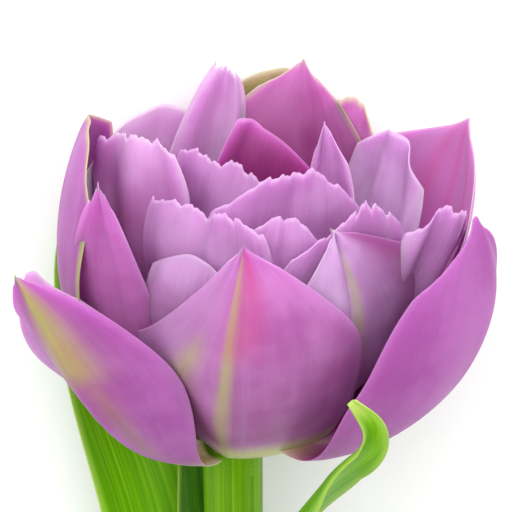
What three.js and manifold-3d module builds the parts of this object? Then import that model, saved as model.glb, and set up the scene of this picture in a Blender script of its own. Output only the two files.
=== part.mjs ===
// A double tulip, cut, lying on its side with its open bloom at the +Y end.
// Millimetres, +Z up. Every piece is shaped in the flower's own frame: Z runs up the stem, the
// origin is the top of the receptacle and -Y is the side that faces up once the flower lies down.
// One group then lays the whole flower down, and what dips under the surface is cut off flat.
import * as THREE from 'three';
import { mergeVertices } from 'three/addons/utils/BufferGeometryUtils.js';
import Module from 'manifold-3d';

const wasm = await Module();
wasm.setup();

// Driving dimensions, in millimetres and degrees
const PITCH = 8; // the stem's top rises this much towards the bloom
const BLOOM_LEAN = 8; // the bloom leans this much to the right of its stem
const SEAT = 0.3; // gap between pieces that touch
const REST_HEIGHT = 28.15; // the receptacle above the surface
const FOOT_SHIFT_X = -4.54; // puts the origin under the middle of the whole flower
const FOOT_SHIFT_Y = 109.29;
const PETAL_THICKNESS = 0.7;
const LEAF_THICKNESS = 0.8;
const RECEPTACLE_RADIUS = 5.4;
const RECEPTACLE_FOOT = -6;
const RECEPTACLE_TOP = 1.5;
const STEM_TOP_RADIUS = 5.4;
const STEM_END_RADIUS = 4.6;
const STEM_SIDES = 12;
const STEM_STEPS = 22;
const STEM_PATH = [[0, 0, RECEPTACLE_FOOT - SEAT], [0, 0, -95], [6, -5, -192], [10, -16.1, -286]];
const PISTIL_RADIUS = 2.1;
const PISTIL_HEIGHT = 20;
const STAMENS = 6;
const STAMEN_CIRCLE = 3.5;
const STAMEN_HEIGHT = 13;
const RIB_SAMPLES = 80;
const FAR = 600; // larger than the flower

const COLOURS = {
  bloom: 0xb862b4,
  stem: 0x7aa814,
  leaf: 0x64a014,
  pistil: 0xb9c27a,
  stamens: 0x6a4a56,
};

// Petals: az turns round the bloom (0 faces the viewer, + to the right). rib is the midrib as a
// cubic curve of [radius, height, sideways] points. The other values are read in petalWidth,
// petalReach and petalPoint. OUTER, MIDDLE and INNER hold what a ring of petals has in common.
const PETAL = { base: 0.12, wide: 0.6, grow: 1, tip: 0.1, full: [2.2, 2.2], cup: [45, 60], fold: 0,
  crease: 0, drop: 0.1, slope: 0, rag: 0, lobes: 0, lobeAt: 0, uneven: 0, hug: [0, 0], roll: [0, 0],
  seed: 1 };
const OUTER = { ...PETAL, rows: 8, columns: 8 };
const MIDDLE = { ...PETAL, rows: 7, columns: 6 };
const INNER = { ...PETAL, rows: 6, columns: 6, base: 0.15, grow: 1.2, wide: 0.7, full: [3, 3] };
const PETALS = {
  front: { ...OUTER, az: -10.5, rib: [[5, -1], [14, 7], [35, 24], [30, 55]], width: 46, base: 0.7,
    wide: 0.52, grow: 0.9, tip: 0, full: [1.1, 2.8], cup: [60, 90], fold: 12, drop: 0.05,
    hug: [0.3, 0], lowerLeft: [0.1, 0.36, 2.2], seed: 2 },
  left: { ...OUTER, az: -54, rib: [[5, -2], [26.5, -3.5], [38, 22], [51.5, 44.5]], width: 29,
    base: 0.25, wide: 0.5, tip: 0, full: [1.2, 1.76], cup: [40, 40], fold: 28, drop: 0.04,
    uneven: 0.02, roll: [12, -44], seed: 3 },
  right: { ...OUTER, az: 66, rib: [[5, 3], [27, 3], [53.5, 30], [36.2, 58]], width: 52, wide: 0.52,
    grow: 1.3, tip: 0.05, full: [5, 1.3], cup: [170, 110], fold: 5, drop: 0.12, rag: 0.003,
    uneven: 0.14, roll: [-16, 7], lowerLeft: [0.05, 0.5, 1.4], seed: 4 },
  backRight: { ...OUTER, az: 108, rib: [[5, 0], [18, 2], [40, 30], [34.3, 64.3]], width: 44,
    grow: 1.3, full: [2.2, 3.4], cup: [110, 60], fold: 5, drop: 0.15, seed: 5 },
  back: { ...OUTER, az: 178, rib: [[5, 0], [20, 2], [40, 28], [33, 59.5]], width: 36, grow: 1.3,
    tip: 0.5, cup: [120, 70], drop: 0.12, seed: 6 },
  backLeft: { ...OUTER, az: -138, rib: [[5, 0], [18, 2], [38, 28], [32, 53]], width: 44, grow: 1.3,
    tip: 0.6, full: [3, 3], cup: [110, 60], drop: 0.15, seed: 7 },
  spearRight: { ...MIDDLE, az: 41, rib: [[5, 1], [11, 8, 3], [34, 26, 4], [24, 57, -9]], width: 42,
    wide: 0.5, tip: 0, full: [2.4, 1.4], cup: [40, 60], fold: 12, crease: 0.8, drop: 0.05,
    uneven: 0.35, roll: [7, 12], seed: 8 },
  spearLeft: { ...MIDDLE, az: -62, rib: [[5, 1], [23, 8], [28, 30], [34, 55.6]], width: 15.8,
    base: 0.1, grow: 1.6, tip: 0.03, full: [1.8, 1.6], cup: [50, 60], drop: 0.08, rag: 0.012,
    uneven: -0.12, roll: [-43, -40], seed: 9 },
  flankLeft: { ...MIDDLE, az: -92, rib: [[5, 1], [28, 1], [43, 31], [32.6, 58]], width: 44,
    wide: 0.65, tip: 0.5, full: [3, 3], cup: [60, 80], drop: 0.12, uneven: -0.3, roll: [-8, -8],
    seed: 10 },
  shoulderLeft: { ...MIDDLE, az: -96, rib: [[5, 1], [12, 6], [28.5, 30], [26, 56.5]], width: 29,
    wide: 0.75, tip: 0.75, full: [2.8, 2.8], cup: [50, 90], drop: 0.06, slope: 0.08, rag: 0.009,
    roll: [-30, -50], seed: 11 },
  crownLeft: { ...MIDDLE, az: -160, rib: [[5, 1], [12, 8], [29, 30], [27.1, 61]], width: 18,
    wide: 0.66, tip: 0.28, full: [5, 1.2], cup: [40, 40], drop: 0.0, slope: 0.02, rag: 0.008,
    uneven: 0.45, seed: 12 },
  crown: { ...MIDDLE, az: 172, rib: [[5, 1], [13, 7], [31, 30], [27, 64.5]], width: 46, wide: 0.5,
    tip: 0.03, full: [1.7, 1.6], rag: 0.003, seed: 13 },
  crownRight: { ...MIDDLE, az: 152, rib: [[5, 1], [12, 8], [31, 30], [28.5, 59]], width: 24,
    tip: 0.5, full: [2.6, 2.6], drop: 0.16, rag: 0.004, seed: 14 },
  shoulderRight: { ...MIDDLE, az: 123, rib: [[5, 1], [11, 8], [26, 30], [24.8, 58.8]], width: 24,
    wide: 0.65, tip: 0.55, full: [2.4, 2.4], cup: [10, 30], uneven: -0.15, seed: 15 },
  wingLeft: { ...MIDDLE, az: -72, rib: [[5, 1], [20, 4], [43, 16], [42.3, 35.8]], width: 17,
    base: 0.25, tip: 0.4, full: [2.4, 2.4], cup: [60, 60], fold: 3, drop: 0.2, slope: 0.1,
    uneven: 0.6, roll: [0, -60], seed: 25 },
  heartFront: { ...INNER, az: 18, rib: [[5, 1], [7, 10], [14, 35], [10, 60.5]], width: 31,
    tip: 0.6, full: [2.4, 2.4], cup: [50, 60], crease: 1.2, drop: 0.16, rag: 0.009, lobes: 0.03,
    lobeAt: -0.1, seed: 16 },
  twinLeft: { ...INNER, az: -36, rib: [[5, 1], [9, 9], [23, 30], [20, 54]], width: 27, wide: 0.82,
    grow: 1.6, tip: 0.8, cup: [60, 40], crease: 1.5, drop: 0.04, slope: 0.03, rag: 0.009,
    lobes: 0.03, seed: 17 },
  twinFront: { ...INNER, az: 5, rib: [[5, 1], [9, 9], [24, 30], [18.5, 56]], width: 22, wide: 0.65,
    tip: 0.5, full: [2.4, 2.4], cup: [50, 70], crease: 1, drop: 0.14, rag: 0.004, lobes: 0.02,
    seed: 18 },
  heartLeft: { ...INNER, az: -84, rib: [[5, 1], [8, 10], [10, 36], [8, 55.8]], width: 24,
    tip: 0.75, cup: [50, 50], drop: 0.06, slope: -0.02, rag: 0.01, lobes: 0.03, lobeAt: -0.3,
    roll: [0, -64], seed: 19 },
  innerRight: { ...INNER, az: 40, rib: [[5, 1], [9, 9], [25, 30], [22, 58.5]], width: 30,
    wide: 0.65, tip: 0.4, full: [2.4, 2.4], cup: [60, 60], drop: 0.12, slope: 0.02, rag: 0.012,
    seed: 20 },
  heartBack: { ...INNER, az: -163, rib: [[5, 1], [8.5, 10], [11, 35], [9.5, 58.3]], width: 23,
    tip: 0.7, cup: [60, 100], drop: 0.06, slope: 0.1, uneven: -0.15, seed: 21 },
  heartSpike: { ...INNER, az: 125, rib: [[5, 1], [8.5, 10], [12, 35], [9, 62.6]], width: 18.2,
    tip: 0.05, full: [1, 1.4], cup: [60, 100], uneven: -0.71, roll: [-20, -30], seed: 22 },
  innerLeft: { ...INNER, az: -32, rib: [[5, 1], [10, 8], [28, 24], [23, 46.5]], width: 20,
    tip: 0.7, cup: [60, 50], seed: 23 },
  ragRight: { ...INNER, az: 74, rib: [[5, 1], [12, 6], [29, 28], [32, 56]], width: 20, tip: 0.8,
    full: [2.6, 2.6], cup: [60, 60], slope: -0.03, rag: 0.01, roll: [20, 30], seed: 24 },
};

// Leaves: path is the midrib as a smooth curve, face the way the channel opens as rows of share, x,
// y and z, cup the channel's turn in degrees at the foot, middle and tip.
const LEAVES = {
  leaf_left: { path: [[-0.9, 2.7, -118], [-1.5, 3.4, -104], [-9, 7.5, -68], [-16.5, 10, -22],
    [-27, 24.8, 6], [-29.6, 30.8, 25], [-22, 28.4, 44]], width: 21, base: 0.93, wide: 0.45,
    tipShare: 0.03, face: [[0, 0.53, -0.85, 0], [1, 0.4, -0.9, 0]], cup: [190, 60, 40], rows: 14,
    columns: 6, wave: 1.2 },
  leaf_right: { path: [[5.3, -6.4, -90], [5.3, -6.5, -74], [6, -14, -42], [7.2, -24, -10],
    [16.8, -35, 14], [22.6, -40.5, 24], [22.8, -42, 28.5], [19.5, -42.5, 33.5]], width: 26,
    base: 0.93, wide: 0.35, tipShare: 0.06, face: [[0, -0.6, 0.8, 0], [0.15, -0.6, 0.8, 0],
      [0.4, 0.4, 0.85, 0], [0.65, 0.9, -0.3, 0], [1, 0.3, -0.9, 0.3]], cup: [150, 110, 120],
    rows: 20, columns: 6, wave: 0.5 },
  leaf_back: { path: [[-3.8, 3.8, -62], [-4.2, 4.3, -48], [-7.5, 8, -22], [-9, 13, 0]], width: 19.5,
    base: 1, wide: 0.02, tipShare: 0.06, face: [[0, 0.7, -0.7, 0], [1, 0.5, -0.9, 0]],
    cup: [180, 100, 80], rows: 10, columns: 4, wave: 0.6 },
};

const rad = THREE.MathUtils.degToRad;
const mix = (a, b, share) => a + (b - a) * share;

// A closed body for joining and cutting, from any closed geometry
function solid(geometry) {
  const bare = geometry.clone();
  bare.deleteAttribute('normal');
  bare.deleteAttribute('uv');
  const merged = mergeVertices(bare, 1e-4);
  const vertProperties = new Float32Array(merged.attributes.position.array);
  const triVerts = new Uint32Array(merged.index.array);
  return new wasm.Manifold(new wasm.Mesh({ numProp: 3, vertProperties, triVerts }));
}

function geometryOf(manifold) {
  const mesh = manifold.getMesh();
  const geometry = new THREE.BufferGeometry();
  geometry.setAttribute('position', new THREE.BufferAttribute(mesh.vertProperties, 3));
  geometry.setIndex(new THREE.BufferAttribute(mesh.triVerts, 1));
  return geometry;
}

// The largest body of a join: a hollow that the join seals is filled and a scrap is dropped
function largest(manifold) {
  const bodies = manifold.decompose();
  return bodies.reduce((best, body) => (body.volume() > best.volume() ? body : best));
}

// A closed blade round a grid of points: both faces, split into triangles alike, and the rim
function bladeGeometry(grid, thickness) {
  const rows = grid.length;
  const columns = grid[0].length;
  const positions = [];
  const index = [];
  const clampRow = (i) => Math.min(Math.max(i, 0), rows - 1);
  const clampColumn = (j) => Math.min(Math.max(j, 0), columns - 1);
  const normalAt = (i, j) => {
    const along = grid[clampRow(i + 1)][j].clone().sub(grid[clampRow(i - 1)][j]);
    const across = grid[i][clampColumn(j + 1)].clone().sub(grid[i][clampColumn(j - 1)]);
    return across.cross(along).normalize();
  };
  for (const side of [0.5, -0.5]) {
    for (let i = 0; i < rows; i += 1) {
      for (let j = 0; j < columns; j += 1) {
        const point = grid[i][j].clone().addScaledVector(normalAt(i, j), side * thickness);
        positions.push(point.x, point.y, point.z);
      }
    }
  }
  const at = (side, i, j) => side * rows * columns + i * columns + j;
  for (let i = 0; i < rows - 1; i += 1) {
    for (let j = 0; j < columns - 1; j += 1) {
      index.push(at(0, i, j), at(0, i, j + 1), at(0, i + 1, j + 1));
      index.push(at(0, i, j), at(0, i + 1, j + 1), at(0, i + 1, j));
      index.push(at(1, i, j), at(1, i + 1, j + 1), at(1, i, j + 1));
      index.push(at(1, i, j), at(1, i + 1, j), at(1, i + 1, j + 1));
    }
  }
  const rim = [];
  for (let j = 0; j < columns - 1; j += 1) rim.push([0, j]);
  for (let i = 0; i < rows - 1; i += 1) rim.push([i, columns - 1]);
  for (let j = columns - 1; j > 0; j -= 1) rim.push([rows - 1, j]);
  for (let i = rows - 1; i > 0; i -= 1) rim.push([i, 0]);
  rim.forEach(([i, j], n) => {
    const [k, l] = rim[(n + 1) % rim.length];
    index.push(at(0, i, j), at(1, i, j), at(1, k, l));
    index.push(at(0, i, j), at(1, k, l), at(0, k, l));
  });
  const geometry = new THREE.BufferGeometry();
  geometry.setAttribute('position', new THREE.Float32BufferAttribute(positions, 3));
  geometry.setIndex(index);
  return geometry;
}

// Cubic curve through the plane of a petal's midrib, measured along its length
function midrib(rib) {
  const [a, b, c, d] = rib.map(([r, z, side = 0]) => new THREE.Vector3(r, z, side));
  const curve = new THREE.CubicBezierCurve3(a, b, c, d);
  const overrun = 1.1;
  const samples = [];
  let length = 0;
  for (let n = 0; n <= RIB_SAMPLES; n += 1) {
    const share = (n / RIB_SAMPLES) * overrun;
    const point = curve.getPoint(share);
    if (n > 0) length += point.distanceTo(samples[n - 1].point);
    samples.push({ share, point, length });
  }
  const whole = samples.find((sample) => sample.share >= 1).length;
  return (reach) => {
    const wanted = reach * whole;
    let n = 1;
    while (n < RIB_SAMPLES && samples[n].length < wanted) n += 1;
    const before = samples[n - 1];
    const after = samples[n];
    const part = (wanted - before.length) / (after.length - before.length);
    const share = mix(before.share, after.share, part);
    const step = 0.01;
    const ahead = curve.getPoint(share + step).sub(curve.getPoint(share - step));
    return { point: curve.getPoint(share), ahead: ahead.normalize() };
  };
}

// Half width: rises from the base as a sine to the widest place and falls off to the tip.
// lowerLeft holds the base, widest place and growth of the left half where they differ.
function petalWidth(petal, reach, t) {
  const lowerRight = [petal.base, petal.wide, petal.grow];
  const [base, wide, grow] = t < 0 ? petal.lowerLeft ?? lowerRight : lowerRight;
  const rise = Math.min(reach / wide, 1);
  const fall = Math.max((reach - wide) / (1 - wide), 0);
  const lower = base + (1 - base) * Math.sin((Math.PI / 2) * rise) ** grow;
  const upper = petal.tip + (1 - petal.tip) * (1 - fall ** petal.full[t < 0 ? 0 : 1]);
  const share = reach < wide ? lower : upper;
  return Math.max(share, 0) * (petal.width / 2) * (1 + petal.uneven * Math.sign(t));
}

// How far up the midrib the top edge stands at t: rounded off, sloped, cleft and ragged
function petalReach(petal, t) {
  const { seed } = petal;
  const ragged = petal.rag * (Math.sin(14.6 * t + seed) * 0.7 + Math.sin(27 * t + 2.1 * seed) * 0.5);
  const cleft = petal.lobes * Math.exp(-(((t - petal.lobeAt) / 0.2) ** 2));
  return 1 - petal.drop * t * t + petal.slope * t + ragged - cleft;
}

const turned = (from, towards, angle) => from.clone().multiplyScalar(Math.cos(angle))
  .addScaledVector(towards, Math.sin(angle));

// A point of the petal's middle surface: out from the midrib along an arc that cups inwards
function petalPoint(petal, rib, share, t) {
  const reach = Math.min(share * petalReach(petal, t), 1.08);
  const { point, ahead } = rib(reach);
  const az = rad(petal.az);
  const out = new THREE.Vector3(Math.sin(az), -Math.cos(az), 0);
  const beside = new THREE.Vector3(Math.cos(az), Math.sin(az), 0);
  const up = new THREE.Vector3(0, 0, 1);
  const place = (v) => new THREE.Vector3()
    .addScaledVector(out, v.x).addScaledVector(up, v.y).addScaledVector(beside, v.z);
  const plane = Math.hypot(ahead.x, ahead.y);
  const face = out.clone().multiplyScalar(ahead.y / plane).addScaledVector(up, -ahead.x / plane);
  const flat = face.clone().cross(place(ahead));
  flat.multiplyScalar(Math.sign(flat.dot(beside)) / flat.length());
  const roll = rad(mix(petal.roll[0], petal.roll[1], reach));
  const across = turned(flat, face, roll);
  const normal = turned(face, flat, -roll);
  const offset = t * petalWidth(petal, reach, t);
  const hug = 1 + petal.hug[0] * Math.max(-t, 0) + petal.hug[1] * Math.max(t, 0);
  const turn = (rad(mix(petal.cup[0], petal.cup[1], reach)) / petal.width) * hug;
  const fold = Math.tan(rad(petal.fold)) * (Math.sqrt(offset * offset + 1) - 1);
  const crease = petal.crease * reach * Math.exp(-((t / 0.12) ** 2));
  const depth = (1 - Math.cos(turn * offset)) / turn + fold + crease;
  return place(point).addScaledVector(across, Math.sin(turn * offset) / turn)
    .addScaledVector(normal, -depth);
}

function petalSolid(petal) {
  const rib = midrib(petal.rib);
  const grid = [];
  for (let i = 0; i <= petal.rows; i += 1) {
    const row = [];
    for (let j = 0; j <= petal.columns; j += 1) {
      row.push(petalPoint(petal, rib, i / petal.rows, -1 + (2 * j) / petal.columns));
    }
    grid.push(row);
  }
  return solid(bladeGeometry(grid, PETAL_THICKNESS));
}

// The bloom: every petal rooted in one receptacle, leaning to the right of its stem
function bloom() {
  const profile = [[0, RECEPTACLE_FOOT], [RECEPTACLE_RADIUS - 0.2, RECEPTACLE_FOOT],
    [RECEPTACLE_RADIUS, RECEPTACLE_FOOT / 2], [RECEPTACLE_RADIUS + 0.2, 0],
    [RECEPTACLE_RADIUS, RECEPTACLE_TOP], [0, RECEPTACLE_TOP]];
  const lathe = new THREE.LatheGeometry(profile.map(([r, z]) => new THREE.Vector2(r, z)), 16);
  lathe.rotateX(Math.PI / 2);
  const lean = new THREE.Matrix4().makeRotationY(rad(BLOOM_LEAN));
  const petals = Object.values(PETALS).map((petal) => petalSolid(petal));
  const ring = petals.reduce((whole, petal) => whole.add(petal));
  const leaning = geometryOf(ring).applyMatrix4(lean);
  return largest(solid(lathe).add(solid(leaning)));
}

// Sections of an equal number of points, carried along a path and closed at both ends
function tubeGeometry(curve, radiusAt, sides, steps) {
  const positions = [];
  const index = [];
  const frames = curve.computeFrenetFrames(steps, false);
  for (let i = 0; i <= steps; i += 1) {
    const centre = curve.getPointAt(i / steps);
    const radius = radiusAt(i / steps);
    for (let j = 0; j < sides; j += 1) {
      const angle = (2 * Math.PI * j) / sides;
      const point = centre.clone().addScaledVector(frames.normals[i], radius * Math.cos(angle))
        .addScaledVector(frames.binormals[i], radius * Math.sin(angle));
      positions.push(point.x, point.y, point.z);
    }
  }
  for (let i = 0; i < steps; i += 1) {
    for (let j = 0; j < sides; j += 1) {
      const a = i * sides + j;
      const b = i * sides + ((j + 1) % sides);
      index.push(a, b, b + sides, a, b + sides, a + sides);
    }
  }
  for (let j = 1; j < sides - 1; j += 1) {
    const top = steps * sides;
    index.push(0, j + 1, j, top, top + j, top + j + 1);
  }
  const geometry = new THREE.BufferGeometry();
  geometry.setAttribute('position', new THREE.Float32BufferAttribute(positions, 3));
  geometry.setIndex(index);
  return geometry;
}

const vectors = (points) => points.map(([x, y, z]) => new THREE.Vector3(x, y, z));

function stem() {
  const [a, b, c, d] = vectors(STEM_PATH);
  const curve = new THREE.CubicBezierCurve3(a, b, c, d);
  const radiusAt = (share) => mix(STEM_TOP_RADIUS, STEM_END_RADIUS, share);
  return solid(tubeGeometry(curve, radiusAt, STEM_SIDES, STEM_STEPS));
}

// The way a channel opens at a share of its length, from rows of share, x, y and z
function openingAt(face, share) {
  const next = Math.max(face.findIndex(([at]) => at >= share), 1);
  const [before, after] = [face[next - 1], face[next]];
  const part = (share - before[0]) / (after[0] - before[0]);
  return new THREE.Vector3(...before.slice(1)).lerp(new THREE.Vector3(...after.slice(1)), part);
}

// A leaf: a channel that clasps the stem at its foot, opens, waves at its edges and narrows
function leaf(shape) {
  const curve = new THREE.CatmullRomCurve3(vectors(shape.path), false, 'centripetal');
  const grid = [];
  for (let i = 0; i <= shape.rows; i += 1) {
    const share = i / shape.rows;
    const centre = curve.getPointAt(share);
    const along = curve.getTangentAt(share);
    const open = openingAt(shape.face, share);
    open.addScaledVector(along, -open.dot(along)).normalize();
    const across = open.clone().cross(along).normalize();
    const rise = Math.min(share / shape.wide, 1);
    const fall = Math.max((share - shape.wide) / (1 - shape.wide), 0);
    const lower = shape.base + (1 - shape.base) * Math.sin((Math.PI / 2) * rise);
    const upper = shape.tipShare + (1 - shape.tipShare) * (1 - fall ** 1.8);
    const half = (shape.width / 2) * (share < shape.wide ? lower : upper);
    const [cupFoot, cupMiddle, cupTip] = shape.cup;
    const cup = share < 0.35 ? mix(cupFoot, cupMiddle, share / 0.35)
      : mix(cupMiddle, cupTip, (share - 0.35) / 0.65);
    const radius = half / rad(cup / 2);
    const row = [];
    for (let j = 0; j <= shape.columns; j += 1) {
      const t = -1 + (2 * j) / shape.columns;
      const angle = t * rad(cup / 2);
      const wave = shape.wave * t * t * share * Math.sin(9 * share + 1.6 * Math.sign(t));
      row.push(centre.clone().addScaledVector(across, radius * Math.sin(angle))
        .addScaledVector(open, radius * (1 - Math.cos(angle)) + wave));
    }
    grid.push(row);
  }
  return solid(bladeGeometry(grid, LEAF_THICKNESS));
}

// The pistil stands on the receptacle: a three-cornered ovary with a spreading stigma on top
function pistil() {
  const foot = RECEPTACLE_TOP + SEAT;
  const outline = [[0, foot], [PISTIL_RADIUS * 0.8, foot], [PISTIL_RADIUS, foot + 5],
    [PISTIL_RADIUS * 0.9, foot + PISTIL_HEIGHT * 0.75],
    [PISTIL_RADIUS * 0.7, foot + PISTIL_HEIGHT * 0.82],
    [PISTIL_RADIUS * 1.3, foot + PISTIL_HEIGHT * 0.93], [0, foot + PISTIL_HEIGHT]];
  const body = new THREE.LatheGeometry(outline.map(([r, z]) => new THREE.Vector2(r, z)), 9);
  body.rotateX(Math.PI / 2);
  return solid(body);
}

// The stamens: short threads with long anthers, rooted in one ring round the pistil
function stamens() {
  const foot = RECEPTACLE_TOP + SEAT;
  const inner = PISTIL_RADIUS + 0.4;
  const profile = [[inner, foot], [inner + 1.3, foot], [inner + 1.3, foot + 1], [inner, foot + 1],
    [inner, foot]];
  const ring = new THREE.LatheGeometry(profile.map(([r, z]) => new THREE.Vector2(r, z)), 12);
  ring.rotateX(Math.PI / 2);
  let whole = solid(ring);
  for (let n = 0; n < STAMENS; n += 1) {
    const angle = (2 * Math.PI * (n + 0.5)) / STAMENS;
    const spot = [STAMEN_CIRCLE * Math.cos(angle), STAMEN_CIRCLE * Math.sin(angle)];
    const path = new THREE.LineCurve3(new THREE.Vector3(...spot, foot + 0.4),
      new THREE.Vector3(...spot, foot + STAMEN_HEIGHT));
    const fatness = (share) => (share < 0.45 ? 0.4 : 0.85 * Math.sin(Math.PI * (share - 0.3)));
    whole = whole.add(solid(tubeGeometry(path, fatness, 5, 5)));
  }
  return whole;
}

// The surface under the flower, as a block in the flower's own frame
function ground(laying) {
  const block = new THREE.BoxGeometry(FAR, FAR, FAR).translate(0, 0, -FAR / 2);
  return solid(block.applyMatrix4(laying.clone().invert()));
}

// Lays the flower down: turns its Z towards +Y and a little up, and its -Y side upwards
function layDown() {
  const pitch = rad(PITCH);
  const right = new THREE.Vector3(1, 0, 0);
  const back = new THREE.Vector3(0, Math.sin(pitch), -Math.cos(pitch));
  const up = new THREE.Vector3(0, Math.cos(pitch), Math.sin(pitch));
  const place = new THREE.Matrix4().makeBasis(right, back, up);
  return place.setPosition(FOOT_SHIFT_X, FOOT_SHIFT_Y, REST_HEIGHT);
}

function piece(name, body, colour, roughness) {
  const material = new THREE.MeshStandardMaterial({ color: colour, roughness, metalness: 0 });
  const mesh = new THREE.Mesh(geometryOf(body), material);
  mesh.name = name;
  return mesh;
}

const laying = layDown();
const surface = ground(laying);
const flower = new THREE.Group();
flower.applyMatrix4(laying);
flower.add(piece('bloom', largest(bloom().subtract(surface)), COLOURS.bloom, 0.55));
flower.add(piece('stem', stem().subtract(surface), COLOURS.stem, 0.45));
for (const [name, shape] of Object.entries(LEAVES)) {
  flower.add(piece(name, largest(leaf(shape).subtract(surface)), COLOURS.leaf, 0.5));
}
flower.add(piece('pistil', pistil(), COLOURS.pistil, 0.6));
flower.add(piece('stamens', stamens(), COLOURS.stamens, 0.7));

const part = new THREE.Group();
part.add(flower);
export default part;
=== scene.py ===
"""A double tulip, cut, lying on its side: violet petals in layers, a green stem and three leaves.

Every piece is worked out in the flower's own frame, in millimetres: Z runs up the stem, the origin
is the top of the receptacle and -Y is the side that faces up once the flower lies down. lay_down
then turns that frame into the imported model's, in metres, where the floor is at Z = 0.
"""

import math

import bpy
import numpy as np
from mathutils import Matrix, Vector


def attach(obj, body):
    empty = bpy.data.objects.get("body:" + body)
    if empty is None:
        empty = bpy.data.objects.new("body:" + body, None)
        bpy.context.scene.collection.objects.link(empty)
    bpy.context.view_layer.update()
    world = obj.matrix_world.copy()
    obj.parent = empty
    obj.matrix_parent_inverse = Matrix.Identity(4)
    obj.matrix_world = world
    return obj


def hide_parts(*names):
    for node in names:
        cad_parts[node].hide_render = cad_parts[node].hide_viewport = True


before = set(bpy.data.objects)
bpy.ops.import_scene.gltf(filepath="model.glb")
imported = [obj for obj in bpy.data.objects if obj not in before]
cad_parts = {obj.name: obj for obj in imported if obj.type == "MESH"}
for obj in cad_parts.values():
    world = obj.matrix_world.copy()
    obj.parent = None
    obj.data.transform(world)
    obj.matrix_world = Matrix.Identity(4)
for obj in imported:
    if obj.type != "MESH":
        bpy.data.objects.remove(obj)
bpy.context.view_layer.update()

# ---------------------------------------------------------------- driving values, millimetres
MM = 0.001
PITCH = math.radians(8)  # the stem's top rises this much towards the bloom
BLOOM_LEAN = math.radians(8)  # the bloom leans this much to the right of its stem
REST_HEIGHT = 28.15  # the receptacle above the floor
FOOT_SHIFT = (-4.54, 109.29)  # puts the origin under the middle of the whole flower

PETAL_ROWS = 64
PETAL_COLUMNS = 72
PETAL_THICKNESS = 0.55
PETAL_EDGE = 0.14
PETAL_EDGE_BAND = 4  # a petal thins to its edge over this width
RIB_SAMPLES = 240
RIB_OVERRUN = 1.12  # the midrib's curve goes on past its end, for rims that rise beyond it
REACH_LIMIT = 1.08
RAG_WAVES = ((0.7, 14.6, 1), (0.5, 27, 2.1), (0.3, 61, 0.7))  # size, radians across, share of seed
CLEFT_WIDTH = 0.2
CREASE_WIDTH = 0.12
SIDE_RUFFLE = (14, 1.3)  # radians up the petal, and between its sides
TOP_RUFFLE = (0.25, 9, 3)  # height, radians across, radians up the petal
PLEAT_RISE = (0.1, 0.8)  # pleats deepen over this stretch of the petal

LEAF_ROWS = 180
LEAF_COLUMNS = 56
LEAF_THICKNESS = 0.8
LEAF_EDGE = 0.25
LEAF_EDGE_BAND = 2.5
LEAF_TAPER = 1.8  # power of the curve that narrows a leaf to its tip
LEAF_WAVE = (9, 1.6)  # radians up the leaf, and between its sides
LEAF_RIBS = 7
LEAF_RIB_HEIGHT = 0.03
LEAF_RIB_START = 0.1  # the ribs rise over this share of the length
CUP_STATIONS = (0, 0.35, 1)  # shares of a leaf's length where its cup is given
PATH_SAMPLES = 60  # between two points of a leaf's path

STEM_PATH = [(0, 0, 0), (0, 0, -95), (6, -5, -192), (10, -16.1, -286)]
STEM_SAMPLES = 400
STEM_TOP_RADIUS = 5.4
STEM_END_RADIUS = 4.6
STEM_SIDES = 72
STEM_ROWS = 260
STEM_RIDGES = ((0.012, 5, 2), (0.006, 13, 0))  # share of the radius, ridges, radians of twist
CUT_BEVEL = 0.05  # share of the radius that the cut end loses
CUT_BEVEL_FROM = 0.9985
CUT_FACE_FROM = 0.9995
CUT_DOME = 0.5

TURNED_SIDES = 48
PROFILE_STEPS = 12
SMALLEST_RADIUS = 0.01
RECEPTACLE_PROFILE = [(0, -6.4), (5.2, -6.4), (5.3, -3), (5.2, -0.5), (5.0, 1), (4, 1.5), (0, 1.5)]
RECEPTACLE_LOBES = (0.02, 6)  # share of the radius, lobes
PISTIL_FOOT = 1.8
PISTIL_RADIUS = 2.1
PISTIL_HEIGHT = 20.0
PISTIL_PROFILE = [(0, 0), (0.8, 0), (1, 0.25), (0.9, 0.75), (0.7, 0.82), (1.25, 0.93), (0.7, 0.985),
                  (0, 0.96)]  # shares of the radius and the height
PISTIL_LOBES = 3
PISTIL_SWELL = (0.1, 0.25)  # the lobes' share of the radius on the ovary and on the stigma
STIGMA_FROM = 0.8  # share of the height
STAMENS = 6
STAMEN_CIRCLE = 3.5
STAMEN_HEIGHT = 13.0
STAMEN_SIDES = 20
STAMEN_PROFILE = [(0, 0), (0.45, 0), (0.35, 0.5), (0.8, 0.55), (0.95, 0.7), (0.75, 0.93),
                  (0, 1)]  # millimetres, share of the height
ANTHER_RIBS = (0.18, 2)

CAMERA_RISE = math.radians(28)  # over the flower's own horizontal
PHOTO_PIXEL = 0.175  # millimetres a pixel at the bloom
PHOTO_WIDTH = 512
LOOK_AT = (4.2, 0, 37.5)
CAMERA_DISTANCE = 460
SENSOR = 36
NEAREST = 0.01  # metres
FLOOR_SIZE = 8  # metres
FLOOR_ROUGHNESS = 0.9
SKY_STRENGTH = 0.78
KEY_LIGHT = dict(towards=(-0.1, -0.75, 0.9), distance=0.9, size=1.0, power=9.5)  # metres, watts
FILL_LIGHT = dict(towards=(0.6, -0.9, 0.3), distance=1.1, size=0.9, power=2.5)

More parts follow.
